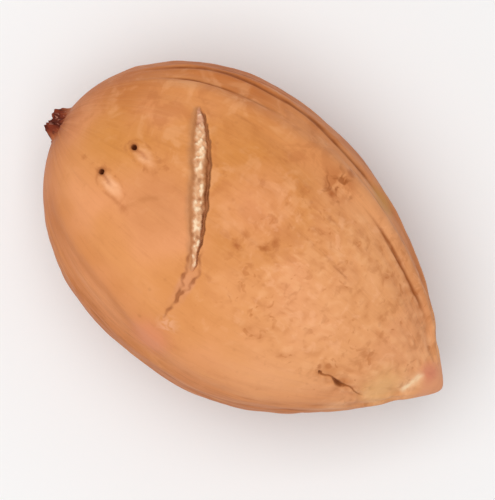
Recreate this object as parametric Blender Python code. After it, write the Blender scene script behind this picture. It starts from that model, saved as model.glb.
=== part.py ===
"""A torreya nut in its woody shell, lying on its broad side.

Metres, +Z up. +X runs from the blunt end, where the nut sat on its stalk, to the pointed tip.
The origin is on the surface that the nut lies on, under the middle of its bounding box.
The shell grew in one piece, so the nut is one solid: an egg with a beak, low ribs from end to end,
two pores with raised lids, a split across the upper face, a nick near the tip and a torn stub.
A sphere is divided finely where those details are, and every point is then moved by a formula.
"""

import math
import random

import bmesh
import bpy
from mathutils import Matrix, Vector

MM = 0.001

# Driving dimensions of the whole nut
LENGTH = 36.5 * MM
WIDTH = 23.3 * MM
HEIGHT = 21.0 * MM

# The egg: stations run from 0 at the blunt end of the body to 1 at the tip
STUB_HEIGHT = 0.75 * MM
BODY_LENGTH = LENGTH - STUB_HEIGHT
WIDEST_STATION = 0.41
POINT_POWER = 2.2
SECTION_POWER = 2.25
OBLIQUE = 0.095
BOW = 0.40 * MM
BOW_STATION = 0.30
BOW_SPREAD = 0.22
NECK_SHARE = 0.07
NECK_STATION = 0.945
NECK_SPREAD = 0.045
BEAK_RADIUS = 0.95 * MM
BEAK_SHARE = 0.05
BEAK_GROOVE_DEPTH = 0.10 * MM
BEAK_GROOVE_WIDTH = 0.35 * MM
BEAK_GROOVE_PATH = ((15.2 * MM, -3.0 * MM), (15.8 * MM, -2.0 * MM), (16.4 * MM, -0.3 * MM))

# Ribs and unevenness. A bearing turns about the long axis: 0 is the +Y side, 90 degrees the top
RIB_SEED = 9
RIB_COUNT = 15
RIB_HEIGHT = 0.28 * MM
RIB_SPREAD = math.radians(5.5)
RIB_WANDER = math.radians(4)
SMOOTH_FACE_BEARING = math.radians(98)
SMOOTH_FACE_SPREAD = math.radians(55)
SMOOTH_FACE_SHARE = 0.85
KEELS = (
    (math.radians(17), 0.24 * MM),
    (math.radians(36), 0.34 * MM),
    (math.radians(160), 0.26 * MM),
)
DENT_SEED = 5
DENT_WAVES = 9
DENT_LENGTH = 15 * MM
DENT_DEPTH = 0.05 * MM

# Pores, each with two raised lids that run back towards the tip
PORES = ((-11.57 * MM, 1.62 * MM), (-12.6 * MM, -1.31 * MM))
LID_DIRECTION = math.radians(-13)
PORE_RADIUS = 0.26 * MM
PORE_DEPTH = 0.5 * MM
LID_OFFSET = 0.42 * MM
LID_SPREAD = 0.24 * MM
LID_LENGTH = 2.4 * MM
LID_HEIGHT = 0.15 * MM

# Splits in the shell, as points that each one passes through, seen from above
SPLIT_PATH = (
    (-9.42 * MM, 7.29 * MM),
    (-8.25 * MM, 5.65 * MM),
    (-6.42 * MM, 3.10 * MM),
    (-4.60 * MM, 0.01 * MM),
    (-2.63 * MM, -3.43 * MM),
    (-2.30 * MM, -5.81 * MM),
    (-2.15 * MM, -8.55 * MM),
)
SPLIT_HALF_WIDTH = 0.72 * MM
SPLIT_DEPTH = 0.55 * MM
SPLIT_LIP = 0.10 * MM
SPLIT_LEAN = 0.6
SPLIT_OPEN_SHARE = 0.70
SPLIT_TAIL_SHARE = 0.32
NICK_PATH = ((9.9 * MM, -4.6 * MM), (11.4 * MM, -4.4 * MM), (13.4 * MM, -4.1 * MM))
NICK_HALF_WIDTH = 0.30 * MM
NICK_DEPTH = 0.22 * MM
NICK_LIP = 0.05 * MM
PATH_STEPS = 8

# The torn stub of the stalk at the blunt end
STUB_RADIUS = 0.95 * MM
STUB_HOLLOW = 0.30 * MM
STUB_TEETH = ((3, 1.0, 0.20), (5, 2.0, 0.12))

# How the nut lies: the tip dips until the shell is level under the nut's weight
PITCH = math.radians(1.0)
REST_CUT = 0.16 * MM

# The mesh, and how near to each detail it is divided once, twice and so on
SEGMENTS = 60
RINGS = 36
SPLIT_MARGINS = (1.3 * MM, 1.0 * MM, 0.7 * MM)
NICK_MARGINS = (0.7 * MM, 0.5 * MM, 0.35 * MM)
LID_MARGINS = (1.3 * MM, 1.1 * MM)
LID_NARROWING = 0.65
PIT_MARGINS = (0.45 * MM, 0.38 * MM)
STUB_MARGINS = (1.9 * MM, 1.6 * MM)
NORMAL_STEP = 1e-4
WELD = 0.02 * MM
SMOOTH_ANGLE = math.radians(40)

# Tan, satin shell
SHELL_COLOUR = (0.66, 0.30, 0.115, 1)
SHELL_ROUGHNESS = 0.5


def clear_scene():
    for obj in list(bpy.data.objects):
        bpy.data.objects.remove(obj)


def rise(low, high, value):
    """0 below low, 1 above high, and a smooth rise between them."""
    t = min(1.0, max(0.0, (value - low) / (high - low)))
    return t * t * (3 - 2 * t)


def hump(offset, spread):
    """1 at no offset, falling away like a bell."""
    return math.exp(-((offset / spread) ** 2))


def turn_between(bearing, other):
    """The smaller angle between two bearings, in radians."""
    return abs((bearing - other + math.pi) % (2 * math.pi) - math.pi)


def swell(station):
    """Half width as a share of the widest: a half ellipse at the blunt end, a necked ogive at the tip."""
    if station < WIDEST_STATION:
        return math.sqrt(max(0.0, 1 - (1 - station / WIDEST_STATION) ** 2))
    ogive = 1 - ((station - WIDEST_STATION) / (1 - WIDEST_STATION)) ** POINT_POWER
    return ogive * (1 - NECK_SHARE * hump(station - NECK_STATION, NECK_SPREAD))


def beak(station):
    """Half width of the small rounded beak that ends the tip."""
    share = (station - 1 + BEAK_SHARE) / BEAK_SHARE
    return BEAK_RADIUS * math.sqrt(max(0.0, 1 - max(0.0, share) ** 2)) * rise(-1, 0, share)


def section(bearing):
    """Radius of the widest section at a bearing: a slightly squared ellipse."""
    across = abs(math.cos(bearing) / (WIDTH / 2)) ** SECTION_POWER
    upright = abs(math.sin(bearing) / (HEIGHT / 2)) ** SECTION_POWER
    return (across + upright) ** (-1 / SECTION_POWER)


def make_ribs():
    """Bearing, height and phase of each rib. The spacing is uneven, as it is on the real shell."""
    draw = random.Random(RIB_SEED)
    ribs = []
    for i in range(RIB_COUNT):
        bearing = 2 * math.pi * (i + draw.uniform(-0.3, 0.3)) / RIB_COUNT
        calm = hump(turn_between(bearing, SMOOTH_FACE_BEARING), SMOOTH_FACE_SPREAD)
        height = RIB_HEIGHT * draw.uniform(0.45, 1.0) * (1 - SMOOTH_FACE_SHARE * calm)
        ribs.append((bearing, height, draw.uniform(0, 2 * math.pi)))
    for bearing, height in KEELS:
        ribs.append((bearing, height, 0.0))
    return ribs


def make_dents():
    """Wave vector and phase of the long swells that keep the shell from being too even."""
    draw = random.Random(DENT_SEED)
    dents = []
    for _ in range(DENT_WAVES):
        heading = Vector([draw.gauss(0, 1) for _ in range(3)]).normalized()
        dents.append((heading * 2 * math.pi / DENT_LENGTH, draw.uniform(0, 2 * math.pi)))
    return dents


RIBS = make_ribs()
DENTS = make_dents()


def shell_relief(point, station, bearing):
    """Ribs that run from end to end and wander a little, and the long swells."""
    relief = 0.0
    for middle, height, phase in RIBS:
        wander = RIB_WANDER * math.sin(2 * math.pi * station + phase)
        relief += height * hump(turn_between(bearing, middle + wander), RIB_SPREAD)
    for wave, phase in DENTS:
        relief += DENT_DEPTH * math.sin(wave.dot(point) + phase)
    return relief * rise(0.02, 0.22, station) * (1 - rise(0.90, 0.98, station))


def smooth_path(points):
    """The points of a smooth curve through the given ones, each as a vector seen from above."""
    ends = [Vector(p) for p in points]
    ends = [2 * ends[0] - ends[1], *ends, 2 * ends[-1] - ends[-2]]
    path = []
    for a, b, c, d in zip(ends, ends[1:], ends[2:], ends[3:]):
        for i in range(PATH_STEPS):
            t = i / PATH_STEPS
            quadratic = (2 * a - 5 * b + 4 * c - d) * t**2
            cubic = (3 * b - a - 3 * c + d) * t**3
            path.append((2 * b + (c - a) * t + quadratic + cubic) / 2)
    return [*path, ends[-2]]


SPLIT = smooth_path(SPLIT_PATH)
NICK = smooth_path(NICK_PATH)
BEAK_GROOVE = smooth_path(BEAK_GROOVE_PATH)


def nearest_on(path, spot):
    """How far the spot is to the left of the path, and where on it, as a share of the path."""
    best, away, where = math.inf, 0.0, 0.0
    for i, (a, b) in enumerate(zip(path, path[1:])):
        along = b - a
        t = min(1.0, max(0.0, (spot - a).dot(along) / along.length_squared))
        gap = spot - a - along * t
        if gap.length < best:
            best = gap.length
            away = math.copysign(best, along.cross(gap))
            where = (i + t) / (len(path) - 1)
    return away, where


def groove(away, half_width, depth, lip, lean=0.0):
    """A rounded groove with a low lip on either side, deeper on the side that it leans to."""
    if half_width <= 0:
        return 0.0
    share = away / half_width
    bottom = max(0.0, 1 - share**2) * (1 + lean * share)
    return lip * hump(abs(away) - 1.3 * half_width, 0.5 * half_width) - depth * bottom


def split_relief(spot):
    """The lens-shaped split and the thin tail that runs on from it. Its tip-side wall is the steep one."""
    away, share = nearest_on(SPLIT, spot)
    lens = math.sin(math.pi * min(1.0, share / SPLIT_OPEN_SHARE)) ** 0.8
    tail = SPLIT_TAIL_SHARE * rise(0.0, 0.15, share) * (1 - rise(0.9, 1.0, share))
    openness = max(lens, tail)
    return groove(away, SPLIT_HALF_WIDTH * openness, SPLIT_DEPTH * openness, SPLIT_LIP * openness, SPLIT_LEAN)


def nick_relief(spot):
    away, share = nearest_on(NICK, spot)
    openness = math.sin(math.pi * share) ** 0.6
    return groove(away, NICK_HALF_WIDTH * openness, NICK_DEPTH * openness, NICK_LIP * openness)


def beak_relief(spot):
    """The shallow groove that sets the beak off from the upper face."""
    away, share = nearest_on(BEAK_GROOVE, spot)
    return -BEAK_GROOVE_DEPTH * math.sin(math.pi * share) * hump(away, BEAK_GROOVE_WIDTH)


def from_pore(pore, spot):
    """How far the spot is from a pore, along its lids and across them."""
    return Matrix.Rotation(-LID_DIRECTION, 2) @ (spot - Vector(pore))


def pore_relief(spot):
    """Each pore is a small pit at the head of two lids, which stand up beside a shallow channel."""
    relief = 0.0
    for pore in PORES:
        along, across = from_pore(pore, spot)
        length = rise(-0.3 * LID_LENGTH, 0.1 * LID_LENGTH, along)
        length *= 1 - rise(0.6 * LID_LENGTH, 1.1 * LID_LENGTH, along)
        relief += LID_HEIGHT * length * hump(abs(across) - LID_OFFSET, LID_SPREAD)
        away = math.hypot(along, across)
        relief -= PORE_DEPTH * (1 - rise(0.5 * PORE_RADIUS, PORE_RADIUS, away))
    return relief


def stub_relief(spot):
    """How far the torn stub stands out at the blunt end. It has a ragged edge and a hollow middle."""
    away, bearing = spot.length, math.atan2(spot.y, spot.x)
    ragged = 1 + sum(share * math.sin(count * bearing + phase) for count, phase, share in STUB_TEETH)
    wall = 1 - rise(0.55 * STUB_RADIUS, 1.45 * STUB_RADIUS, away / ragged)
    return STUB_HEIGHT * wall * ragged - STUB_HOLLOW * hump(away, 0.45 * STUB_RADIUS)


def smooth_point(direction):
    """Where a point of the unit sphere goes on the plain egg, with the centre line on the X axis."""
    station = (1 + direction.x) / 2
    bearing = math.atan2(direction.z, direction.y)
    radius = math.hypot(section(bearing) * swell(station), beak(station))
    y = radius * math.cos(bearing)
    x = STUB_HEIGHT - LENGTH / 2 + BODY_LENGTH * station - OBLIQUE * y * (1 - station) ** 2
    y += BOW * hump(station - BOW_STATION, BOW_SPREAD)
    return Vector((x, y, radius * math.sin(bearing)))


def outward(direction):
    """The direction in which the plain egg faces where a point of the unit sphere goes."""
    side = direction.orthogonal().normalized() * NORMAL_STEP
    other = direction.cross(side)
    here = smooth_point(direction)
    first = smooth_point((direction + side).normalized()) - here
    second = smooth_point((direction + other).normalized()) - here
    return first.cross(second).normalized()


def nut_point(direction):
    """Where a point of the unit sphere goes on the nut, with all its relief."""
    station = (1 + direction.x) / 2
    bearing = math.atan2(direction.z, direction.y)
    point = smooth_point(direction)
    relief = shell_relief(point, station, bearing)
    if direction.z > 0:
        spot = point.xy
        relief += split_relief(spot) + nick_relief(spot) + beak_relief(spot) + pore_relief(spot)
    if direction.x < 0:
        relief += stub_relief(Vector((point.y - smooth_point(Vector((-1, 0, 0))).y, point.z)))
    return point + relief * outward(direction)


def from_split(point):
    return abs(nearest_on(SPLIT, point.xy)[0]) if point.z > 0 else math.inf


def from_nick(point):
    return abs(nearest_on(NICK, point.xy)[0]) if point.z > 0 else math.inf


def from_lids(point):
    """Distance from the middle of the nearer pair of lids, with lengths along them counted less."""
    if point.z < 0:
        return math.inf
    gaps = [from_pore(pore, point.xy) for pore in PORES]
    return min(math.hypot(LID_NARROWING * (along - LID_LENGTH * 0.4), across) for along, across in gaps)


def from_pits(point):
    return min(from_pore(pore, point.xy).length for pore in PORES) if point.z > 0 else math.inf


def from_stub(point):
    return point.yz.length if point.x < 0 else math.inf


def refine(bm, distance, margins):
    """Divides the faces of the unit sphere that will lie near a detail, once for each margin."""
    for margin in margins:
        edges = {
            edge
            for face in bm.faces
            if distance(smooth_point(face.calc_center_median().normalized())) < margin
            for edge in face.edges
        }
        bm.edges.index_update()
        edges = sorted(edges, key=lambda edge: edge.index)
        bmesh.ops.subdivide_edges(bm, edges=edges, cuts=1, use_grid_fill=True)
        for vert in bm.verts:
            vert.co.normalize()


def fit_size(bm):
    """Scales the nut so that its greatest length, width and height are the driving dimensions."""
    for axis, size in enumerate((LENGTH, WIDTH, HEIGHT)):
        values = [vert.co[axis] for vert in bm.verts]
        scale = size / (max(values) - min(values))
        for vert in bm.verts:
            vert.co[axis] *= scale


def lay_down(bm):
    """Tips the nut to its resting pose, cuts the small flat spot that it lies on, and centres it."""
    bmesh.ops.rotate(bm, verts=bm.verts, cent=(0, 0, 0), matrix=Matrix.Rotation(PITCH, 3, "Y"))
    floor = min(vert.co.z for vert in bm.verts) + REST_CUT
    everything = [*bm.verts, *bm.edges, *bm.faces]
    cut = bmesh.ops.bisect_plane(
        bm, geom=everything, dist=WELD, plane_co=(0, 0, floor), plane_no=(0, 0, -1), clear_outer=True
    )
    for part in cut["geom_cut"]:
        if isinstance(part, bmesh.types.BMVert):
            part.co.z = floor
    rim = [part for part in cut["geom_cut"] if isinstance(part, bmesh.types.BMEdge)]
    bmesh.ops.holes_fill(bm, edges=rim, sides=0)
    fit_size(bm)
    low = [min(vert.co[axis] for vert in bm.verts) for axis in range(3)]
    high = [max(vert.co[axis] for vert in bm.verts) for axis in range(3)]
    middle = Vector(((low[0] + high[0]) / 2, (low[1] + high[1]) / 2, low[2]))
    bmesh.ops.translate(bm, verts=bm.verts, vec=-middle)


def shell_material():
    material = bpy.data.materials.new("shell")
    material.use_nodes = True
    shader = material.node_tree.nodes["Principled BSDF"]
    shader.inputs["Base Color"].default_value = SHELL_COLOUR
    shader.inputs["Roughness"].default_value = SHELL_ROUGHNESS
    shader.inputs["Metallic"].default_value = 0
    material.diffuse_color = SHELL_COLOUR
    return material


def build_nut(collection):
    bm = bmesh.new()
    poles_on_x = Matrix.Rotation(math.pi / 2, 4, "Y")
    bmesh.ops.create_uvsphere(bm, u_segments=SEGMENTS, v_segments=RINGS, radius=1, matrix=poles_on_x)
    refine(bm, from_split, SPLIT_MARGINS)
    refine(bm, from_nick, NICK_MARGINS)
    refine(bm, from_stub, STUB_MARGINS)
    refine(bm, from_lids, LID_MARGINS)
    refine(bm, from_pits, PIT_MARGINS)
    placed = [(vert, nut_point(vert.co.normalized())) for vert in bm.verts]
    for vert, point in placed:
        vert.co = point
    lay_down(bm)
    bmesh.ops.triangulate(bm, faces=bm.faces)
    bmesh.ops.recalc_face_normals(bm, faces=bm.faces)
    mesh = bpy.data.meshes.new("torreya_nut")
    bm.to_mesh(mesh)
    bm.free()
    mesh.materials.append(shell_material())
    mesh.shade_smooth()
    mesh.set_sharp_from_angle(angle=SMOOTH_ANGLE)
    nut = bpy.data.objects.new("torreya_nut", mesh)
    collection.objects.link(nut)
    return nut


def main():
    clear_scene()
    collection = bpy.data.collections.new("torreya nut")
    bpy.context.scene.collection.children.link(collection)
    build_nut(collection)


main()
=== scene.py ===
import math
import random

import bpy
import numpy as np
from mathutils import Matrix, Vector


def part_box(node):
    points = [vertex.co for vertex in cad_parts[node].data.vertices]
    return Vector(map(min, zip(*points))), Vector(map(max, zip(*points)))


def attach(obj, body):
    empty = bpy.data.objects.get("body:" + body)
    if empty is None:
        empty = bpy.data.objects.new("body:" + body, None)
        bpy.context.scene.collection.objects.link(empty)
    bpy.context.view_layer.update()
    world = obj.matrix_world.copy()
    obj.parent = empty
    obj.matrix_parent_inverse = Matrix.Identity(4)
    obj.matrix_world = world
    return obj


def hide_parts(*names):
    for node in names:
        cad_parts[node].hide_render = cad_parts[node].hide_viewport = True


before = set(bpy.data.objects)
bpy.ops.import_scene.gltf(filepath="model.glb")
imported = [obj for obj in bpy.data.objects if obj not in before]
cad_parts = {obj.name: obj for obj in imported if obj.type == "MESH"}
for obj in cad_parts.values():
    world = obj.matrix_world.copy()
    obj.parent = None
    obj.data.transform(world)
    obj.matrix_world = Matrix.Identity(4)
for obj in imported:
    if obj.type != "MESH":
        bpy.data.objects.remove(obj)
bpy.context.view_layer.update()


# The shell: one woody case that grew in one piece, an egg with a blunt end, a pointed beak and low ribs.
# It is made as a fine ball with its poles at the two ends. The ball is divided again where the marks are,
# and its points then move outwards by the rules of the ribs, wrinkles, split, pores, nick and stub.

MM = 0.001
LENGTH, WIDTH, HEIGHT = 36.5 * MM, 23.3 * MM, 21.0 * MM
STUB_HEIGHT, STUB_RADIUS = 0.75 * MM, 0.95 * MM
BEAK_SHARE, BEAK_RADIUS = 0.05, 0.95 * MM
PITCH, REST_CUT = math.radians(1.0), 0.16 * MM

# The egg: a station runs from 0 at the blunt end to 1 at the tip. The egg is widest at one station, drawn in
# before the beak at another, bowed sideways and slanted at the blunt end.
WIDEST, POINT_POWER, SECTION_POWER = 0.41, 2.2, 2.25
NECK_STATION, NECK_SPREAD, NECK_SHARE = 0.945, 0.045, 0.07
BOW, BOW_STATION, BOW_SPREAD, OBLIQUE = 0.40 * MM, 0.30, 0.22, 0.095

# Ribs: a bearing turns about the long axis, from 0 on the +Y side through 90 degrees at the top. The ribs
# fade on the smooth upper face, and three keels, each a bearing and a height, stand at its rims.
RIB_COUNT, RIB_HEIGHT, RIB_SPREAD, RIB_WANDER = 15, 0.28 * MM, math.radians(5.5), math.radians(4)
SMOOTH_BEARING, SMOOTH_SPREAD, SMOOTH_SHARE = math.radians(98), math.radians(55), 0.85
KEELS = ((math.radians(17), 0.24 * MM), (math.radians(36), 0.34 * MM), (math.radians(160), 0.26 * MM))
DENT_WAVES, DENT_LENGTH, DENT_DEPTH = 9, 15 * MM, 0.05 * MM

# Furrows along the shell: bearing in degrees, where each starts and ends as a share of the length, strength,
# and how much it breaks up.
FURROWS = (
    (22, 0.05, 0.70, 1.00, 0.25), (33, 0.08, 0.44, 0.85, 0.35), (28, 0.50, 0.97, 0.60, 0.40),
    (38, 0.58, 0.95, 0.80, 0.40), (13, 0.08, 0.93, 0.80, 0.30), (44, 0.16, 0.50, 0.45, 0.60),
    (70, 0.46, 0.80, 0.42, 0.90), (56, 0.38, 0.72, 0.42, 0.90), (165, 0.10, 0.90, 0.50, 0.60),
    (178, 0.15, 0.95, 0.55, 0.50), (152, 0.55, 0.93, 0.40, 0.70), (191, 0.08, 0.62, 0.60, 0.60),
    (207, 0.38, 0.96, 0.50, 0.80), (222, 0.05, 0.48, 0.70, 0.60), (240, 0.45, 0.95, 0.45, 0.80),
    (252, 0.10, 0.88, 0.60, 0.70), (274, 0.30, 0.97, 0.45, 0.80), (288, 0.06, 0.55, 0.65, 0.60),
    (310, 0.35, 0.95, 0.50, 0.80), (323, 0.08, 0.50, 0.55, 0.60), (343, 0.30, 0.95, 0.50, 0.80),
    (356, 0.10, 0.85, 0.65, 0.50),
)
FURROW_DEPTH, FURROW_EDGE, WRINKLE_HEIGHT = 0.10 * MM, 0.05 * MM, 0.030 * MM

# Pores with their lids: place, turn of the lids, and their length and half width, in millimetres and degrees.
PORES = ((-11.77, 1.92, -8, 2.35, 0.66), (-12.80, -1.01, -20, 2.70, 0.62))
PORE_RADIUS, PORE_DEPTH, LID_HEIGHT = 0.22 * MM, 0.5 * MM, 0.13 * MM

# Marks on the upper face, as points that they run through, in millimetres.
SPLIT_POINTS = (
    (-9.45, 7.35), (-8.50, 6.05), (-6.72, 3.55), (-4.90, 0.46), (-3.00, -2.98),
    (-2.65, -5.36), (-2.65, -8.20),
)
NICK_POINTS = (
    (9.35, -4.10), (9.75, -4.28), (10.5, -4.05), (11.3, -4.14), (12.1, -3.86),
    (13.0, -3.93), (13.6, -3.72),
)
BEAK_POINTS = ((15.50, -2.05), (16.02, -0.90), (16.44, 0.35))
CREASE_POINTS = ((-10.3, -2.9), (-9.8, -2.1), (-9.1, -1.05), (-8.2, -0.3), (-7.1, 0.3))
EDGE_POINTS = ((-15.4, -3.4), (-14.3, -5.6), (-11.3, -7.2), (-7.6, -8.3), (-3.6, -9.6), (0.5, -10.3))
SPLIT_HALF, OPEN_SHARE, CRUMB_COUNT = 0.70 * MM, 0.70, 120


def rise(low, high, value):
    """A smooth rise from 0 at low to 1 at high."""
    t = np.clip((value - low) / (high - low), 0, 1)
    return t * t * (3 - 2 * t)


def hump(offset, spread):
    """1 where the offset is 0, falling away on both sides."""
    return np.exp(-((offset / spread) ** 2))


def smooth_path(points):
    """Points close together on a smooth curve through the given ones, in metres."""
    ends = [np.array(p) * MM for p in points]
    ends = [2 * ends[0] - ends[1], *ends, 2 * ends[-1] - ends[-2]]
    path = []
    for a, b, c, d in zip(ends, ends[1:], ends[2:], ends[3:]):
        bend, swing = 2 * a - 5 * b + 4 * c - d, 3 * b - a - 3 * c + d
        for t in np.arange(0, 1, 1 / 12):
            path.append((2 * b + (c - a) * t + bend * t**2 + swing * t**3) / 2)
    return np.array([*path, ends[-2]])


def along_path(path, spots):
    """How far each spot lies to the left of the path, and where on it, as a share of the path."""
    best, side, where = np.full(len(spots), 1.0), np.zeros(len(spots)), np.zeros(len(spots))
    for i, (a, b) in enumerate(zip(path, path[1:])):
        step = b - a
        t = np.clip((spots - a) @ step / (step @ step), 0, 1)
        gap = spots - a - t[:, None] * step
        reach = np.hypot(gap[:, 0], gap[:, 1])
        turn = np.sign(step[0] * gap[:, 1] - step[1] * gap[:, 0])
        closer = reach < best
        best = np.where(closer, reach, best)
        side = np.where(closer, reach * turn, side)
        where = np.where(closer, (i + t) / (len(path) - 1), where)
    return side, where


def ripples(point, length, seed, count=14):
    """An uneven field of bumps about this far apart, from crossing waves. It swings about -1 to 1."""
    draw = random.Random(seed)
    field = np.zeros(len(point))
    for _ in range(count):
        heading = np.array([draw.gauss(0, 1) for _ in range(3)])
        heading *= 2 * math.pi * draw.uniform(0.7, 1.4) / (length * np.linalg.norm(heading))
        field += np.sin(point @ heading + draw.uniform(0, 2 * math.pi))
    return field / math.sqrt(count / 2)


def section(bearing):
    """Distance from the long axis to the widest outline, a little squarer than an ellipse."""
    across = np.abs(np.cos(bearing) / (WIDTH / 2)) ** SECTION_POWER
    upright = np.abs(np.sin(bearing) / (HEIGHT / 2)) ** SECTION_POWER
    return (across + upright) ** (-1 / SECTION_POWER)


def swell(station):
    """Girth along the egg, as a share of the widest."""
    blunt = np.sqrt(np.clip(1 - (1 - station / WIDEST) ** 2, 0, 1))
    pointed = 1 - np.clip((station - WIDEST) / (1 - WIDEST), 0, 1) ** POINT_POWER
    pointed = pointed * (1 - NECK_SHARE * hump(station - NECK_STATION, NECK_SPREAD))
    return np.where(station < WIDEST, blunt, pointed)


def beak(station):
    """Radius of the rounded beak at the tip."""
    share = (station - 1 + BEAK_SHARE) / BEAK_SHARE
    return BEAK_RADIUS * np.sqrt(np.clip(1 - np.clip(share, 0, 1) ** 2, 0, 1)) * rise(-1, 0, share)


def plain_egg(ball):
    """Where points of a unit ball go on the egg without any relief."""
    station, bearing = (1 + ball[:, 0]) / 2, np.arctan2(ball[:, 2], ball[:, 1])
    radius = np.hypot(section(bearing) * swell(station), beak(station))
    y, z = radius * np.cos(bearing), radius * np.sin(bearing)
    x = STUB_HEIGHT - LENGTH / 2 + (LENGTH - STUB_HEIGHT) * station - OBLIQUE * y * (1 - station) ** 2
    return np.stack([x, y + BOW * hump(station - BOW_STATION, BOW_SPREAD), z], 1)


def facing(ball):
    """The way the plain egg faces at points of a unit ball."""
    upright = np.where(np.abs(ball[:, 2:3]) > 0.9, [[0.0, 1.0, 0.0]], [[0.0, 0.0, 1.0]])
    side = np.cross(ball, upright)
    side /= np.linalg.norm(side, axis=1)[:, None]
    other = np.cross(ball, side)
    ends = []
    for way in (side, other):
        moved = ball + 1e-4 * way
        ends.append(plain_egg(moved / np.linalg.norm(moved, axis=1)[:, None]) - plain_egg(ball))
    out = np.cross(*ends)
    return out / np.linalg.norm(out, axis=1)[:, None]


def rib_relief(point, station, bearing):
    """The low ribs from end to end, unevenly spaced, the keels, and long shallow dents."""
    draw = random.Random(9)
    relief = np.zeros(len(station))
    ribs = []
    for i in range(RIB_COUNT):
        middle = 2 * math.pi * (i + draw.uniform(-0.3, 0.3)) / RIB_COUNT
        turn = abs((middle - SMOOTH_BEARING + math.pi) % (2 * math.pi) - math.pi)
        calm = math.exp(-((turn / SMOOTH_SPREAD) ** 2))
        height = RIB_HEIGHT * draw.uniform(0.45, 1.0) * (1 - SMOOTH_SHARE * calm)
        ribs.append((middle, height, draw.uniform(0, 2 * math.pi)))
    for middle, height, phase in [*ribs, *((m, h, 0.0) for m, h in KEELS)]:
        wander = RIB_WANDER * np.sin(2 * math.pi * station + phase)
        turn = np.abs((bearing - middle - wander + math.pi) % (2 * math.pi) - math.pi)
        relief += height * hump(turn, RIB_SPREAD)
    draw = random.Random(5)
    for _ in range(DENT_WAVES):
        heading = np.array([draw.gauss(0, 1) for _ in range(3)])
        heading *= 2 * math.pi / (DENT_LENGTH * np.linalg.norm(heading))
        relief += DENT_DEPTH * np.sin(point @ heading + draw.uniform(0, 2 * math.pi))
    return relief * rise(0.02, 0.22, station) * (1 - rise(0.90, 0.98, station))


def furrow_strength(point, station, bearing):
    """The fine furrows, 0 to 1, that waver, fade and break up along the shell, and their raised edges."""
    draw = random.Random(21)
    strength, edges = np.zeros(len(station)), np.zeros(len(station))
    girth = np.hypot(point[:, 1], point[:, 2])
    for middle, start, end, depth, breaks in FURROWS:
        phase, second, third = (draw.uniform(0, 2 * math.pi) for _ in range(3))
        beat = draw.uniform(21, 38)
        wander = 1.2 * np.sin(5.2 * station + phase) + 0.6 * np.sin(beat * station + second)
        away = ((bearing - np.radians(middle + wander) + math.pi) % (2 * math.pi) - math.pi) * girth
        beats = 0.32 * np.sin(beat * station + third) + 0.26 * np.sin(2.3 * beat * station + second)
        kept = np.clip(1 - breaks * (0.5 + beats), 0.05, 1)
        along = depth * kept * rise(start, start + 0.14, station) * (1 - rise(end - 0.14, end, station))
        strength = np.maximum(strength, along * hump(away, (0.13 + 0.06 * depth) * MM))
        edges = np.maximum(edges, along * hump(np.abs(away) - 0.46 * MM, 0.26 * MM))
    return strength, edges


def wrinkle_height(point, station, bearing):
    """Fine wrinkles, about -1 to 1: crumpled on the tip half of the upper face, lengthwise down the sides."""
    girth = 11 * MM * (0.35 + 0.65 * swell(station))
    grain = np.stack([0.22 * point[:, 0], girth * np.cos(bearing), girth * np.sin(bearing)], 1)
    crumpled = ripples(point + 0.25 * MM * ripples(point, 1.9 * MM, 3)[:, None], 1.05 * MM, 1)
    lengthwise = ripples(grain, 1.25 * MM, 2)
    top = rise(0.15, 0.65, np.sin(bearing))
    middle = 1 - rise(4.5 * MM, 8.5 * MM, np.abs(point[:, 1] - 1.0 * MM))
    crumpled_part = 0.22 + 0.78 * top * rise(0.36, 0.58, station) * middle
    ends = rise(0.03, 0.12, station) * (1 - rise(0.93, 0.99, station))
    return (0.55 * crumpled * crumpled_part + lengthwise * (0.22 + 0.78 * (1 - top))) * ends


SPLIT, NICK, BEAK_EDGE = smooth_path(SPLIT_POINTS), smooth_path(NICK_POINTS), smooth_path(BEAK_POINTS)
CREASE, EDGE = smooth_path(CREASE_POINTS), smooth_path(EDGE_POINTS)


def split_width(share):
    """Half width of the open part of the split, a long lens."""
    return SPLIT_HALF * np.clip(np.sin(math.pi * np.clip(share / OPEN_SHARE, 0, 1)), 0, 1) ** 0.75


def from_split(point):
    """How far each spot lies to the left of the split, with its edges frayed, and where along it."""
    side, share = along_path(SPLIT, point[:, :2])
    return side + (0.040 * ripples(point, 1.6 * MM, 51) + 0.018 * ripples(point, 0.6 * MM, 52)) * MM, share


def split_tail(side, share):
    """Two thin cracks below the open part that draw together and go on as one, 0 to 1."""
    apart = 0.46 * MM * (1 - rise(0.68, 0.88, share))
    wobble = 0.08 * MM * np.sin(70 * share) + 0.04 * MM * np.sin(151 * share)
    beats = 0.22 * np.sin(61 * share + 1.0) + 0.12 * np.sin(140 * share)
    broken = 0.60 + beats + 0.4 * hump(share - 0.86, 0.02)
    ends = rise(0.58, 0.66, share) * (1 - rise(0.90, 1.0, share))
    return hump(np.abs(side + wobble) - apart, 0.14 * MM) * ends * broken


def nick_width(share):
    """Half width of the nick, widest at its middle and at its blunt start."""
    wide = 0.055 + 0.125 * hump(share - 0.48, 0.085) + 0.06 * hump(share - 0.12, 0.06)
    return MM * wide * rise(0, 0.12, share) * (1 - rise(0.85, 1.0, share))


def crumbs(point):
    """Rounded crumbs of uneven size, packed along the split: 1 on their tops, down to -1 between them."""
    draw = random.Random(11)
    height = np.full(len(point), -1.0)
    for _ in range(CRUMB_COUNT):
        middle = SPLIT[draw.randrange(4, len(SPLIT) * 3 // 4)]
        middle = middle + MM * np.array([draw.uniform(-0.7, 0.7) for _ in range(2)])
        away = np.hypot(*(point[:, :2] - middle).T) / (MM * draw.uniform(0.15, 0.36))
        height = np.maximum(height, draw.uniform(0.4, 1.0) - 1.5 * away**2)
    return height


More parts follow.
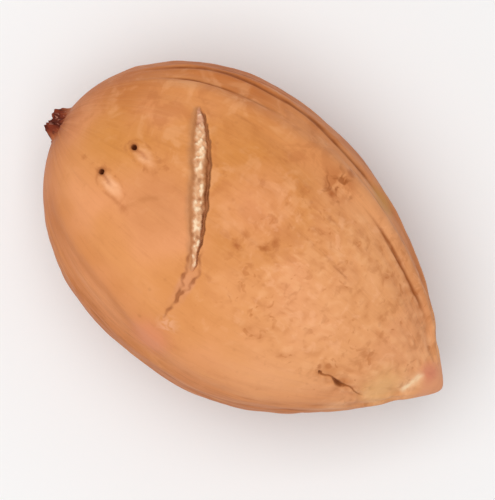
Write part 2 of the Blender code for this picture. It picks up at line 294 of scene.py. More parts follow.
def from_pore(pore, spots):
    """Each spot's place from a pore, along its lids and across them."""
    turn = math.radians(-pore[2])
    turned = np.array([[math.cos(turn), math.sin(turn)], [-math.sin(turn), math.cos(turn)]])
    return ((spots - np.array(pore[:2]) * MM) @ turned).T


def lid_reach(pore, along, across):
    """0 in the middle of a pore's lids and 1 at their rim."""
    return np.hypot((along - 0.42 * pore[3] * MM) / (0.58 * pore[3] * MM), across / (pore[4] * MM))


def mark_relief(point):
    """The split with its crumbs, the nick, the crease, the edge furrow, the beak's groove and the pores."""
    spots, up = point[:, :2], point[:, 2] > 0
    side, share = from_split(point)
    half = split_width(share)
    u = side / np.maximum(half, 1e-7)
    deep = np.clip(half / (0.35 * MM), 0, 1)
    crumb = 0.8 * crumbs(point) + 0.25 * ripples(point, 0.35 * MM, 12)
    flesh = rise(-1.0, -0.45, u) * (1 - rise(0.50, 0.76, u)) * deep
    relief = -0.26 * MM * deep * rise(-1.35, -0.62, u) * (1 - rise(0.88, 1.06, u))
    gap_depth = (0.10 + 0.13 * rise(0.26, 0.42, share)) * MM
    relief -= gap_depth * deep * rise(0.46, 0.70, u) * (1 - rise(0.84, 1.02, u))
    relief += flesh * (0.13 + 0.10 * np.clip(crumb, -1.2, 1.2)) * MM
    relief += 0.05 * MM * deep * hump(np.abs(side) - 1.3 * half, 0.25 * MM)
    relief -= 0.12 * MM * split_tail(side, share)
    side, share = along_path(NICK, spots)
    half = nick_width(share)
    relief -= 0.75 * half * (1 - rise(0.3, 1.1, np.abs(side) / np.maximum(half, 1e-7)))
    lip = hump(np.abs(side) - 0.3 * MM, 0.12 * MM)
    relief += 0.03 * MM * lip * rise(0, 0.1, share) * (1 - rise(0.9, 1, share))
    side, share = along_path(BEAK_EDGE, spots)
    relief -= 0.10 * MM * np.clip(np.sin(math.pi * share), 0, 1) * hump(side, 0.32 * MM)
    side, share = along_path(CREASE, spots)
    relief -= 0.035 * MM * np.clip(np.sin(math.pi * share), 0, 1) * hump(side, 0.20 * MM)
    side, share = along_path(EDGE, spots)
    relief -= 0.07 * MM * np.clip(np.sin(math.pi * share), 0, 1) ** 0.6 * hump(side, 0.42 * MM)
    uneven = ripples(point, 1.3 * MM, 41)
    for pore in PORES:
        along, across = from_pore(pore, spots)
        reach = lid_reach(pore, along, across) + 0.09 * uneven
        relief += LID_HEIGHT * (1 - rise(0.35, 1.08, reach)) * (1 + 0.2 * uneven)
        relief -= 0.04 * MM * hump(reach - 1.14, 0.15) * rise(-0.9, 0.6, uneven - 0.5 * np.sign(across))
        channel = rise(-0.3, 0.1, along / MM) * (1 - rise(0.8, 1.8, along / MM))
        relief -= 0.12 * MM * hump(across + 0.08 * MM * np.sin(3.1 * along / MM), 0.15 * MM) * channel
        relief -= PORE_DEPTH * (1 - rise(0.5 * PORE_RADIUS, PORE_RADIUS, np.hypot(along, across)))
    return relief * up, np.where(up, crumb, 0), uneven


def stub_relief(point):
    """The torn stub of the stalk at the blunt end, ragged at its edge, rough and hollow in the middle."""
    middle = plain_egg(np.array([[-1.0, 0.0, 0.0]]))[0, 1:]
    y, z = (point[:, 1:] - middle).T
    away, turn = np.hypot(y, z), np.arctan2(z, y)
    ragged = 1 + 0.20 * np.sin(3 * turn + 1) + 0.12 * np.sin(5 * turn + 2)
    teeth = 0.10 * np.sin(9 * turn + 3) + 0.08 * np.sin(14 * turn)
    wall = 1 - rise(0.55 * STUB_RADIUS, 1.45 * STUB_RADIUS, away / (ragged + 0.4 * teeth))
    rough = 0.07 * MM * ripples(point, 0.35 * MM, 31) * (1 - rise(0.9 * MM, 1.7 * MM, away))
    crown = STUB_HEIGHT * wall * (ragged + teeth * hump(away - 0.7 * MM, 0.35 * MM))
    return (crown + rough - 0.30 * MM * hump(away, 0.45 * STUB_RADIUS)) * (point[:, 0] < 0)


def divide_near(shell, reach, margins):
    """Divides the faces whose reach, worked out from their place on the egg, is under each margin in turn."""
    for margin in margins:
        mesh = shell.data
        middles = np.empty(len(mesh.polygons) * 3)
        mesh.polygons.foreach_get("center", middles)
        middles = middles.reshape(-1, 3)
        point = plain_egg(middles / np.linalg.norm(middles, axis=1)[:, None])
        bpy.ops.object.mode_set(mode="EDIT")
        bpy.ops.mesh.select_mode(type="FACE")
        bpy.ops.mesh.select_all(action="DESELECT")
        bpy.ops.object.mode_set(mode="OBJECT")
        mesh.polygons.foreach_set("select", reach(point) < margin)
        bpy.ops.object.mode_set(mode="EDIT")
        bpy.ops.mesh.subdivide(number_cuts=1, quadcorner="INNERVERT")
        bpy.ops.object.mode_set(mode="OBJECT")
        settle(mesh)


def settle(mesh):
    """Brings every point of the ball back to the ball's surface."""
    places = np.empty(len(mesh.vertices) * 3)
    mesh.vertices.foreach_get("co", places)
    places = places.reshape(-1, 3)
    places /= np.linalg.norm(places, axis=1)[:, None]
    mesh.vertices.foreach_set("co", places.ravel())
    mesh.update()


def reach_on_top(path):
    """Distance to a path on the upper face."""
    return lambda point: np.where(point[:, 2] > 0, np.abs(along_path(path, point[:, :2])[0]), 1)


def reach_pores(measure):
    """What a measure gives for the nearest pore on the upper face."""
    def reach(point):
        each = [measure(pore, *from_pore(pore, point[:, :2])) for pore in PORES]
        return np.where(point[:, 2] > 0, np.min(each, axis=0), 9.0)
    return reach


def hole_reach(pore, along, across):
    """Distance to the hole of a pore."""
    return np.hypot(along, across)


def reach_end(point):
    """Distance to the long axis at the blunt end."""
    return np.where(point[:, 0] < 0, np.hypot(point[:, 1], point[:, 2]), 1)


bpy.ops.object.select_all(action="DESELECT")
bpy.ops.mesh.primitive_uv_sphere_add(segments=280, ring_count=168, radius=1, rotation=(0, math.pi / 2, 0))
shell = bpy.context.object
shell.name = shell.data.name = "shell"
bpy.ops.object.transform_apply(location=True, rotation=True, scale=True)
settle(shell.data)
divide_near(shell, reach_on_top(SPLIT), (1.3 * MM, 0.95 * MM))
divide_near(shell, reach_on_top(NICK), (0.7 * MM, 0.5 * MM))
divide_near(shell, reach_on_top(CREASE), (0.4 * MM,))
divide_near(shell, reach_on_top(BEAK_EDGE), (0.6 * MM,))
divide_near(shell, reach_end, (2.1 * MM, 1.5 * MM))
divide_near(shell, reach_pores(lid_reach), (1.35,))
divide_near(shell, reach_pores(hole_reach), (0.6 * MM,))

# Where two divided stretches meet, two points can fall together, and they are made one.
bpy.ops.object.mode_set(mode="EDIT")
bpy.ops.mesh.select_all(action="SELECT")
bpy.ops.mesh.remove_doubles(threshold=1e-5)
bpy.ops.object.mode_set(mode="OBJECT")

ball = np.empty(len(shell.data.vertices) * 3)
shell.data.vertices.foreach_get("co", ball)
ball = ball.reshape(-1, 3)
ball /= np.linalg.norm(ball, axis=1)[:, None]
station, bearing = (1 + ball[:, 0]) / 2, np.arctan2(ball[:, 2], ball[:, 1])
egg = plain_egg(ball)
furrows, edges = furrow_strength(egg, station, bearing)
wrinkles = wrinkle_height(egg, station, bearing)
marks, crumb, uneven = mark_relief(egg)
relief = rib_relief(egg, station, bearing) + marks + stub_relief(egg)
relief += WRINKLE_HEIGHT * wrinkles - FURROW_DEPTH * furrows + FURROW_EDGE * edges
shell.data.vertices.foreach_set("co", (egg + relief[:, None] * facing(ball)).ravel())
shell.data.update()


def keep(name, *values):
    """Stores up to three values at each of the shell's points, for the finish to read."""
    values = np.stack([*values, *[np.zeros(len(ball))] * (3 - len(values))], 1).astype(np.float32)
    shell.data.attributes.new(name, "FLOAT_VECTOR", "POINT").data.foreach_set("vector", values.ravel())


keep("egg", *(egg / MM).T)
keep("round", station, np.cos(bearing), np.sin(bearing))
keep("skin", furrows, wrinkles, crumb)
side, share = from_split(egg)
keep("split", side / MM, split_width(share) / MM, share)
keep("tail", split_tail(side, share), uneven)
side, share = along_path(NICK, egg[:, :2])
keep("nick", side / MM, nick_width(share) / MM, share)
for name, path in (("beak", BEAK_EDGE), ("crease", CREASE), ("edge", EDGE)):
    side, share = along_path(path, egg[:, :2])
    keep(name, side / MM, share)
for number, pore in enumerate(PORES):
    along, across = from_pore(pore, egg[:, :2])
    keep(f"pore_{number}", along / MM, across / MM, lid_reach(pore, along, across))

# The nut lies tipped by a degree. A thin slice is cut off below, where it touches the ground.
bpy.ops.object.mode_set(mode="EDIT")
bpy.ops.mesh.select_all(action="SELECT")
bpy.ops.transform.rotate(value=-PITCH, orient_axis="Y", center_override=(0, 0, 0))
bpy.ops.object.mode_set(mode="OBJECT")
rest_height = min(v.co.z for v in shell.data.vertices) + REST_CUT
bpy.ops.object.mode_set(mode="EDIT")
bpy.ops.mesh.select_all(action="SELECT")
bpy.ops.mesh.bisect(
    plane_co=(0, 0, rest_height), plane_no=(0, 0, -1), clear_outer=True, use_fill=True, threshold=1e-6)
bpy.ops.object.mode_set(mode="OBJECT")

places = np.empty(len(shell.data.vertices) * 3)
shell.data.vertices.foreach_get("co", places)
places = places.reshape(-1, 3)
low, high = places.min(0), places.max(0)
box_low, box_high = (np.array(corner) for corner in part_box("torreya_nut"))


def into_box(spots):
    """Fits spots of the turned egg into the box of the modelled nut."""
    return box_low + (spots - low) * (box_high - box_low) / (high - low)


shell.data.vertices.foreach_set("co", into_box(places).ravel())
shell.data.update()
bpy.ops.object.select_all(action="DESELECT")
shell.select_set(True)
bpy.context.view_layer.objects.active = shell
bpy.ops.object.shade_smooth()
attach(shell, "root")
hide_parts("torreya_nut")


class Tone:
    """A number, a colour or a vector in a finish. Sums on it add Math nodes."""

    def __init__(self, tree, socket=None):
        self.tree, self.socket = tree, socket

    def node(self, kind, settings, inputs, output=0):
        """Adds a node: its settings first, then the values or links of its sockets."""
        made = self.tree.nodes.new(kind)
        for name, value in settings.items():
            setattr(made, name, value)
        for name, value in inputs.items():
            if isinstance(value, Tone):
                self.tree.links.new(value.socket, made.inputs[name])
            else:
                made.inputs[name].default_value = value
        return Tone(self.tree, made.outputs[output])

    def sum(self, operation, first, second=0.0):
        """One Math node on two numbers."""
        return self.node("ShaderNodeMath", {"operation": operation}, {0: first, 1: second})

    def __add__(self, other):
        return self.sum("ADD", self, other)

    def __radd__(self, other):
        return self.sum("ADD", other, self)

    def __sub__(self, other):
        return self.sum("SUBTRACT", self, other)

    def __rsub__(self, other):
        return self.sum("SUBTRACT", other, self)

    def __mul__(self, other):
        return self.sum("MULTIPLY", self, other)

    def __rmul__(self, other):
        return self.sum("MULTIPLY", other, self)

    def __truediv__(self, other):
        return self.sum("DIVIDE", self, other)

    def __pow__(self, other):
        return self.sum("POWER", self, other)

    def __neg__(self):
        return self.sum("MULTIPLY", self, -1.0)

    def size(self):
        """This number without its sign."""
        return self.sum("ABSOLUTE", self)

    def over(self, other):
        """The larger of the two."""
        return self.sum("MAXIMUM", self, other)

    def bell(self, spread):
        """1 at zero, falling away on both sides."""
        share = self / spread
        return self.sum("POWER", math.e, -(share * share))

    def ramp(self, low, high, start=0.0, end=1.0):
        """A smooth rise from start at low to end at high, flat beyond them."""
        inputs = {"Value": self, "From Min": low, "From Max": high, "To Min": start, "To Max": end}
        return self.node("ShaderNodeMapRange", {"interpolation_type": "SMOOTHSTEP"}, inputs)

    def paint(self, colour, amount):
        """This colour with another laid over it by an amount."""
        return self.node("ShaderNodeMix", {"data_type": "RGBA"}, {0: amount, 6: self, 7: colour}, 2)

    def stretch(self, *by):
        """This vector with its three parts scaled."""
        return self.node("ShaderNodeVectorMath", {"operation": "MULTIPLY"}, {0: self, 1: by})

    def noise(self, scale, detail=2.0, rough=0.5, warp=0.0):
        """Soft random patches on this vector, about 0 to 1."""
        inputs = {"Vector": self, "Scale": scale, "Detail": detail, "Roughness": rough, "Distortion": warp}
        return self.node("ShaderNodeTexNoise", {}, inputs)

    def cells(self, scale):
        """Distance to the nearest of many scattered points on this vector."""
        return self.node("ShaderNodeTexVoronoi", {}, {"Vector": self, "Scale": scale})

    def parts(self):
        """The three parts of this vector."""
        return [self.node("ShaderNodeSeparateXYZ", {}, {0: self}, part) for part in range(3)]


def rgb(red, green, blue):
    """A colour picked as it looks on a screen, from 0 to 255, in the light values that a finish takes."""
    values = [c / 255 for c in (red, green, blue)]
    return tuple(c / 12.92 if c <= 0.04045 else ((c + 0.055) / 1.055) ** 2.4 for c in values) + (1.0,)


def new_finish(name):
    """A new material: its shader, and the tone that the first nodes are made from."""
    made = bpy.data.materials.new(name)
    made.use_nodes = True
    return made, made.node_tree.nodes["Principled BSDF"], Tone(made.node_tree)


def plain_colour(start, colour):
    """One even colour, for others to be painted over."""
    tone = start.node("ShaderNodeRGB", {}, {})
    tone.socket.default_value = colour
    return tone


# The shell's finish: tan satin wood, with patches from yellow-brown to pinkish orange, and sides painted
# darker as painted shade.
# Each paint below lays one tone over the last where its rule says.
wood, shader, start = new_finish("nut_shell")


def stored(name):
    """A value stored at the shell's points."""
    return start.node("ShaderNodeAttribute", {"attribute_name": name}, {}, 1)


round_at, egg_at = stored("round"), stored("egg")
length, _, sine = round_at.parts()
x, y, z = egg_at.parts()
furrow, wrinkle, crumb_height = stored("skin").parts()
top = z.ramp(0.0, 0.8)
patch = egg_at.noise(0.13, 2.0, 0.5)
blotch = egg_at.noise(0.5, 3.0, 0.55, 0.5)
squiggle = egg_at.noise(1.1, 2.0, 0.55, 0.7)
mottle = egg_at.noise(0.75, 3.0, 0.6, 0.4)
streak = round_at.stretch(6.0, 12.0, 12.0).noise(1.3, 4.0, 0.6, 0.25)
hair = round_at.stretch(12.0, 42.0, 42.0).noise(1.0, 3.0, 0.7, 0.4)
fine = egg_at.noise(7.0, 3.0, 0.7)
side_share = (1 - (sine + 0.6 * (patch - 0.5) + 0.016 * y).ramp(0.0, 0.64)) * (1 - length.ramp(0.86, 0.98))


def near(spot_x, spot_y, inner, outer, uneven=0.0):
    """1 around a spot of the upper face and 0 beyond the outer distance, in millimetres."""
    away = np.hypot(egg[:, 0] / MM - spot_x, egg[:, 1] / MM - spot_y) + 99 * (egg[:, 2] < 0)
    across, down, below = x - spot_x, y - spot_y, z - float(egg[np.argmin(away), 2] / MM)
    return ((across * across + down * down + below * below) ** 0.5 + uneven).ramp(outer, inner)


colour = plain_colour(start, rgb(224, 148, 88))
colour = colour.paint(rgb(237, 160, 110), patch.ramp(0.46, 0.60) * y.ramp(4.0, 9.0, 0.75, 0.20))
colour = colour.paint(rgb(212, 136, 68), (1 - patch).ramp(0.50, 0.64) * 0.65)
# Painted light and shade on the upper face: its -Y half is painted lighter. Its +Y side, the +Y rim, the +Y
# part near the blunt end and the -Y rim are painted darker.
colour = colour.paint(rgb(240, 164, 106), (-y).ramp(0.5, 8.0) * top * 0.45)
colour = colour.paint(rgb(210, 128, 62), y.ramp(4.0, 8.5) * top * 0.20)
colour = colour.paint(rgb(198, 110, 44), y.ramp(7.8, 10.2) * x.ramp(-2.5, -6.5, 0.04, 0.70) * top)
colour = colour.paint(rgb(194, 110, 42), length.ramp(0.22, 0.08) * y.ramp(1.5, 5.0) * top * 0.55)
colour = colour.paint(rgb(192, 112, 56), (-y).ramp(7.0, 10.0) * x.ramp(-3.0, 4.0) * top * 0.45)
colour = colour.paint(rgb(214, 139, 84), near(-7.9, -0.6, 0.8, 4.8, 2.0 * (blotch - 0.5)) * 0.75)
colour = colour.paint(rgb(242, 168, 112), near(0.6, -2.5, 0.4, 3.8, 2.0 * (blotch - 0.5)) * 0.50)
colour = colour.paint(rgb(196, 116, 62), blotch.ramp(0.50, 0.64) * y.ramp(-2.0, 4.0) * top * 0.44)
colour = colour.paint(rgb(240, 172, 118), (1 - blotch).ramp(0.52, 0.66) * y.ramp(-2.0, 4.0) * top * 0.44)
colour = colour.paint(rgb(214, 140, 66), near(-13.6, 0.6, 1.0, 4.6) * 0.55)
colour = colour.paint(rgb(214, 138, 66), near(-5.5, 7.0, 0.8, 3.6) * 0.45)
colour = colour.paint(rgb(240, 162, 112), near(-1.4, 3.6, 0.8, 4.2, 2.0 * (blotch - 0.5)) * 0.50)
# Painted light and shade: the tip half of the upper face is painted lighter, and the lower flanks and the
# sides are painted darker.
colour = colour.paint(rgb(243, 173, 120), length.ramp(0.46, 0.72) * top * 0.62)
colour = colour.paint(rgb(186, 100, 44), z.ramp(6.8, 2.0) * (1 - length.ramp(0.80, 0.94)) * 0.56)
colour = colour.paint(rgb(186, 100, 46), side_share * 0.34)
colour = colour.paint(rgb(164, 88, 46), (-sine).ramp(0.0, 0.8) * (blotch.ramp(0.35, 0.65) * 0.25 + 0.1))

# Streaks and hair lines run with the ribs, more on the sides than on the smooth upper face. The furrows are
# brown, and the crumpled skin near the tip is painted darker in its hollows as painted shade and paler on its
# crests as painted highlight.
colour = colour.paint(rgb(156, 84, 36), streak.ramp(0.50, 0.70) * (side_share * 0.26 + 0.08))
colour = colour.paint(rgb(240, 170, 106), (1 - streak).ramp(0.52, 0.72) * (side_share * 0.24 + 0.14))
colour = colour.paint(rgb(138, 70, 28), hair.ramp(0.54, 0.70) * (side_share * 0.28 + 0.07))
colour = colour.paint(rgb(240, 172, 112), (1 - hair).ramp(0.56, 0.70) * side_share * 0.16)
crumple = length.ramp(0.34, 0.56) * top * (y - 1.0 + 4.0 * (blotch - 0.5)).size().ramp(8.5, 4.5) * 0.82 + 0.18
# Painted shade in the hollows of the crumpled skin, and painted highlight on its crests.
colour = colour.paint(rgb(190, 112, 58), (-wrinkle).ramp(0.0, 1.2) * crumple * 0.30)
colour = colour.paint(rgb(252, 186, 132), wrinkle.ramp(0.0, 1.2) * crumple * 0.34)
colour = colour.paint(rgb(178, 102, 50), mottle.ramp(0.55, 0.68) * crumple * 0.30)
colour = colour.paint(rgb(252, 184, 136), (1 - mottle).ramp(0.57, 0.68) * crumple * 0.34)
colour = colour.paint(rgb(186, 106, 50), squiggle.ramp(0.60, 0.68) * crumple * blotch.ramp(0.42, 0.58) * 0.45)
brown = furrow.ramp(0.05, 0.70) * (0.66 + 0.30 * blotch.ramp(0.4, 0.6)) * sine.ramp(-0.4, 0.2, 0.5, 1.0)
colour = colour.paint(rgb(150, 76, 26), brown)
edge_side, edge_share, _ = stored("edge").parts()
edge_part = (edge_share - 0.5).size().ramp(0.50, 0.30) * top
colour = colour.paint(rgb(196, 114, 58), (edge_side - 0.5).bell(1.3) * edge_part * 0.34)
colour = colour.paint(rgb(182, 100, 42), (edge_side + 0.5 * (blotch - 0.5)).bell(0.32) * edge_part * 0.34)
# The crease: a soft band of painted shade along its shallow groove.
crease_side, crease_share, _ = stored("crease").parts()
crease_shade = (crease_share - 0.5).size().ramp(0.50, 0.20) * top * mottle.ramp(0.25, 0.60)
colour = colour.paint(rgb(186, 114, 62), (crease_side + 0.7 * (blotch - 0.5)).bell(0.26) * crease_shade * 0.36)

# Brown specks: a few sure ones, a cluster by the far edge, and faint freckles on the sides.
dots = egg_at.cells(0.75).ramp(0.17, 0.06) * egg_at.noise(0.3).ramp(0.48, 0.60)
colour = colour.paint(rgb(150, 80, 38), dots * (side_share * 0.30 + 0.15))
cluster = near(2.7, 8.4, 0.5, 2.1, 1.2 * (mottle - 0.5))
colour = colour.paint(rgb(190, 108, 54), cluster * mottle.ramp(0.36, 0.56) * 0.65)
colour = colour.paint(rgb(156, 82, 32), cluster * squiggle.ramp(0.50, 0.64) * 0.75)
SPECKS = (  # place and size in millimetres, and how dark
    (-1.20, 0.16, 0.32, 0.75), (0.45, 1.05, 0.26, 0.30), (0.75, 1.30, 0.34, 0.55),
    (1.20, 1.80, 0.36, 0.35), (-1.10, 1.25, 0.30, 0.35), (-2.30, 0.35, 0.26, 0.25),
    (0.46, -0.60, 0.20, 0.30), (-1.67, -3.04, 0.24, 0.30), (4.83, 1.48, 0.20, 0.30),
    (-5.10, 4.10, 0.20, 0.30), (-2.40, 5.20, 0.22, 0.30), (9.30, -4.00, 0.17, 0.60),
    (9.95, -3.45, 0.15, 0.45), (2.56, 7.57, 0.28, 0.60), (2.87, 9.39, 0.38, 0.60),
    (-9.80, -2.40, 0.30, 0.30), (6.50, 3.30, 0.22, 0.35), (-8.80, 1.98, 0.16, 0.30),
    (-14.50, -0.80, 0.18, 0.30), (3.60, 5.70, 0.24, 0.30),
)
for spot_x, spot_y, radius, depth in SPECKS:
    spot = near(spot_x, spot_y, radius * 0.2, radius * 1.9, 1.1 * (squiggle - 0.5) + 0.25 * (fine - 0.5))
    colour = colour.paint(rgb(166, 84, 30), spot * depth)
colour = colour.paint(rgb(200, 146, 66), near(6.1, 9.2, 0.4, 1.9, mottle - 0.5) * 0.5)
colour = colour.paint(rgb(232, 146, 110), near(-2.6, -9.3, 0.5, 2.6, mottle - 0.5) * 0.6)

# The split: cream crumbs on the blunt side, a dark gap along the tip side, a soft pinkish brown border that
# is partly painted shade on its sloping wall, and two thin brown cracks below that become one.
split_side, split_half, split_share = stored("split").parts()
tail, uneven, _ = stored("tail").parts()
ragged = split_side + 0.22 * (egg_at.noise(1.8, 3.0, 0.6) - 0.5)
u = ragged / split_half.over(0.04)
opened = split_half.ramp(0.04, 0.24) * top
# The border: partly its own pinkish brown, partly painted shade where the wall slopes down into the split.
border_and_shade = (ragged + split_half).ramp(-0.60, 0.05) * (1 - u.ramp(0.9, 1.15)) * split_half.ramp(0.02, 0.15) * top
colour = colour.paint(rgb(182, 124, 82), border_and_shade * 0.72)
grit = 0.80 * crumb_height + 2.4 * (egg_at.noise(1.15, 2.0, 0.55) - 0.5)
grit = grit + 0.6 * (egg_at.noise(3.4) - 0.5)
flesh = plain_colour(start, rgb(230, 176, 132))
flesh = flesh.paint(rgb(255, 224, 186), grit.ramp(-0.20, 0.90))
flesh = flesh.paint(rgb(166, 108, 68), (-grit).ramp(0.25, 1.05) * 0.75)
pinkish = (1 - split_share.ramp(0.08, 0.22)) * (1 - 0.6 * grit.ramp(0.3, 0.9))
flesh = flesh.paint(rgb(208, 146, 118), pinkish * 0.75)
flesh = flesh.paint(rgb(204, 144, 102), (u + 0.15).size().ramp(0.30, 0.85) * 0.55)
lip = 0.40 * (split_share - 0.36).bell(0.09) + 0.5 * (mottle - 0.5)
inside = u.ramp(-1.0, -0.45) * (1 - (u + lip).ramp(0.36, 0.84)) * opened
colour = colour.paint(flesh, inside)
gap_depth = split_share.ramp(0.02, 0.10) * (0.55 + 0.45 * split_share.ramp(0.30, 0.44))
shade = (u + lip).ramp(0.40, 0.85) * (1 - u.ramp(0.95, 1.15)) * opened
colour = colour.paint(rgb(178, 116, 72), shade * 0.80)
gap = (u - 0.84).size().ramp(0.34, 0.06) * split_half.ramp(0.04, 0.16) * top * gap_depth
colour = colour.paint(rgb(142, 84, 48), gap * (0.24 + 0.56 * squiggle.ramp(0.40, 0.60)))
cracks = tail * top
flakes = near(-2.1, -7.7, 0.2, 1.3, 1.2 * (squiggle - 0.5)) * squiggle.ramp(0.40, 0.55)
between = split_side.size().ramp(0.75, 0.3) * (split_share - 0.76).bell(0.10) * top
colour = colour.paint(rgb(222, 150, 110), between * 0.6)
colour = colour.paint(rgb(248, 184, 146), flakes * top * 0.50)
colour = colour.paint(rgb(160, 92, 50), cracks.ramp(0.02, 0.75) * 0.74)

# The nick: a thin brown scratch, darkest where it is deepest.
nick_side, nick_half, nick_share = stored("nick").parts()
scratch = (nick_side + 0.26 * (squiggle - 0.5)).size() / nick_half.over(0.03)
scratch = scratch.ramp(2.0, 0.3) * nick_half.ramp(0.01, 0.06) * top
colour = colour.paint(rgb(200, 124, 68), near(10.2, -3.9, 0.2, 1.5, 1.4 * (squiggle - 0.5)) * 0.5)
colour = colour.paint(rgb(192, 112, 54), near(11.6, -3.9, 0.1, 1.1, 1.2 * (squiggle - 0.5)) * 0.5)
colour = colour.paint(rgb(172, 98, 46), scratch * mottle.ramp(0.15, 0.35) * 0.80)
darkest = (nick_share - 0.48).bell(0.12) + 0.7 * (nick_share - 0.12).bell(0.08)
colour = colour.paint(rgb(126, 62, 20), scratch * darkest)

# The pores: two pinholes, each at the head of a pair of pale lids, partly painted highlight on their raised
# tops, with broken brown furrows of painted shade around and between them.
rough_part = inside * 0.35
for number, pale in ((0, 0.72), (1, 0.84)):
    pore_along, pore_across, lid = stored(f"pore_{number}").parts()
    lid = lid + 0.09 * uneven + 0.35 * (blotch - 0.5)
    wavering = pore_across + 0.35 * (squiggle - 0.5)
    # The lids: their own pale tone, and painted highlight on their raised tops.
    lid_pale_and_highlight = lid.ramp(1.08, 0.40) * top * pale * pore_along.ramp(0.0, 1.5, 0.35, 1.0)
    colour = colour.paint(rgb(252, 186, 138), lid_pale_and_highlight * (0.6 + 0.4 * mottle.ramp(0.60, 0.42)))
    # Painted shade in the moat around the lids and in the channel between them.
    moat_shade = (lid - 1.16).bell(0.20) * mottle.ramp(0.44, 0.58) * top
    colour = colour.paint(rgb(178, 104, 56), moat_shade * 0.40)
    channel = wavering.bell(0.15) * pore_along.ramp(0.0, 0.3) * (1 - pore_along.ramp(0.8, 1.8)) * top
    colour = colour.paint(rgb(178, 106, 66), channel * 0.50)
    from_hole = (pore_along * pore_along + pore_across * pore_across) ** 0.5 + 0.10 * (fine - 0.5)
    colour = colour.paint(rgb(172, 100, 52), from_hole.ramp(0.50, 0.24) * top * 0.7)
    hole = from_hole.ramp(0.29, 0.15) * top
    colour = colour.paint(rgb(98, 42, 14), hole)
    rough_part = rough_part + hole * 0.4

# The beak: a small pinkish point, with a pale torn line and a yellowish patch at its foot.
beak_side, beak_share, _ = stored("beak").parts()
tip_part = length.ramp(0.950, 0.972)
colour = colour.paint(rgb(230, 156, 116), tip_part * 0.8)
colour = colour.paint(rgb(216, 126, 100), near(16.6, 0.5, 0.1, 1.4, 0.6 * (mottle - 0.5)) * 0.7)
beak_part = (beak_share - 0.5).size().ramp(0.50, 0.24) * top
colour = colour.paint(rgb(240, 190, 124), near(14.2, -2.6, 0.1, 2.9, 2.2 * (mottle - 0.5)) * 0.50)
colour = colour.paint(rgb(248, 190, 142), near(12.4, -5.6, 0.1, 2.6, 2.2 * (mottle - 0.5)) * 0.38)
colour = colour.paint(rgb(250, 200, 154), (beak_side + 0.50 * (squiggle - 0.5)).bell(0.44) * beak_part * 0.6)
bright = (beak_side + 0.55 * (squiggle - 0.5)).bell(0.15) * beak_part * (0.45 + 0.5 * mottle.ramp(0.62, 0.40))
colour = colour.paint(rgb(255, 222, 178), bright)

# The stub: what is left of the stalk, dark red-brown and torn, in a ring of purple-brown fibres.
from_end = (y * y + z * z) ** 0.5
end_part = 1 - length.ramp(0.2, 0.4)
spokes = round_at.stretch(2.0, 9.0, 9.0).noise(1.5, 3.0, 0.65)
below = (-sine + 0.3 * (spokes - 0.5)).ramp(-0.2, 0.6)
stain = (from_end + 7.0 * (spokes - 0.5) + 2.0 * (squiggle - 0.5)).ramp(6.5, 1.5) * end_part * below
colour = colour.paint(rgb(146, 80, 60), stain * (0.25 + 0.40 * spokes.ramp(0.42, 0.60)))
colour = colour.paint(rgb(168, 88, 46), (from_end + 4.0 * (spokes - 0.5)).ramp(4.6, 1.2) * end_part * 0.40)
colour = colour.paint(rgb(158, 82, 50), (from_end + 2.4 * (spokes - 0.5)).ramp(2.8, 0.9) * end_part * 0.70)
stub = (1 - (from_end + 0.5 * (spokes - 0.5)).ramp(1.0, 1.6)) * end_part
colour = colour.paint(rgb(122, 48, 28), stub * 0.95)
colour = colour.paint(rgb(70, 24, 16), egg_at.noise(2.6, 2.0, 0.5).ramp(0.50, 0.62) * stub * 0.7)
colour = colour.paint(rgb(196, 132, 110), egg_at.noise(3.6, 2.0, 0.5).ramp(0.58, 0.68) * stub * 0.8)
wood.node_tree.links.new(colour.socket, shader.inputs["Base Color"])

rough = 0.52 + 0.16 * (blotch - 0.5) + 0.10 * (streak - 0.5) + 0.15 * furrow + rough_part + 0.25 * stub
wood.node_tree.links.new(rough.socket, shader.inputs["Roughness"])
shader.inputs["Specular IOR Level"].default_value = 0.14

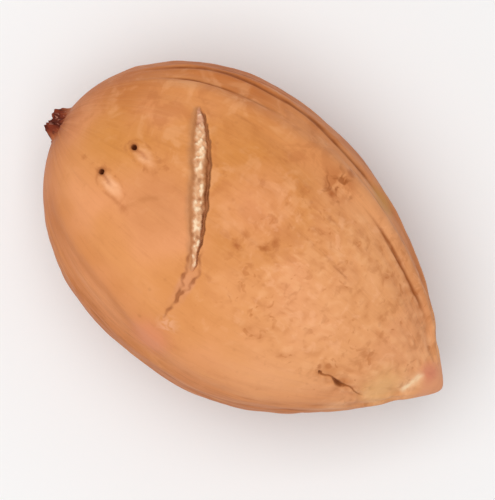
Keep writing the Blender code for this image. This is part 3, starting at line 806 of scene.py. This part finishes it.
height = 0.40 * streak + 0.30 * hair + 0.30 * blotch + 0.12 * fine - 0.5 * mottle * crumple
height = height + 0.8 * inside * grit - 0.5 * gap - 0.35 * cracks - 0.3 * scratch
height = height + 0.5 * stub * egg_at.noise(3.0, 3.0, 0.6)
bump = start.node("ShaderNodeBump", {}, {"Strength": 0.35, "Distance": 0.22 * MM, "Height": height})
wood.node_tree.links.new(bump.socket, shader.inputs["Normal"])
shell.data.materials.clear()
shell.data.materials.append(wood)


# The room: a pale floor, soft light from a large panel above and a bright white surround, and a camera that
# looks straight down, turned so that the tip points to the lower right.

bpy.ops.mesh.primitive_plane_add(size=2.4, location=(0, 0, 0))
floor_sheet = bpy.context.object
floor_sheet.name = "floor"
paper, shader, start = new_finish("floor_paper")
shader.inputs["Base Color"].default_value = (0.93, 0.93, 0.93, 1)
shader.inputs["Roughness"].default_value = 0.9
floor_sheet.data.materials.append(paper)

# Lamps: name, place, side of the panel and watts.
LAMPS = (("key", (-0.10, -0.06, 0.55), 0.45, 1.95), ("fill", (0.35, 0.25, 0.40), 0.5, 0.3))
for name, place, side_length, power in LAMPS:
    bpy.ops.object.light_add(type="AREA", location=place)
    lamp = bpy.context.object
    lamp.name = lamp.data.name = name
    lamp.data.size = side_length
    lamp.data.energy = power
    toward = -np.array(place) / np.linalg.norm(place)
    lamp.rotation_euler = (math.acos(-toward[2]), 0, math.atan2(toward[0], -toward[1]))

world = bpy.data.worlds.new("surround")
world.use_nodes = True
world.node_tree.nodes["Background"].inputs["Color"].default_value = (1, 1, 1, 1)
world.node_tree.nodes["Background"].inputs["Strength"].default_value = 0.52
bpy.context.scene.world = world
bpy.context.scene.view_settings.view_transform = "Standard"

camera_height, camera_turn, frame_width = 0.60, math.radians(34.46), 38.5 * MM
picture_width, picture_height = 495, 500
bpy.ops.object.camera_add(location=(0, 0, camera_height), rotation=(0, 0, camera_turn))
camera = bpy.context.object
camera.data.lens = camera.data.sensor_width * camera_height / (frame_width * picture_height / picture_width)
camera.data.clip_start, camera.data.clip_end = 0.01, 10
bpy.context.scene.camera = camera
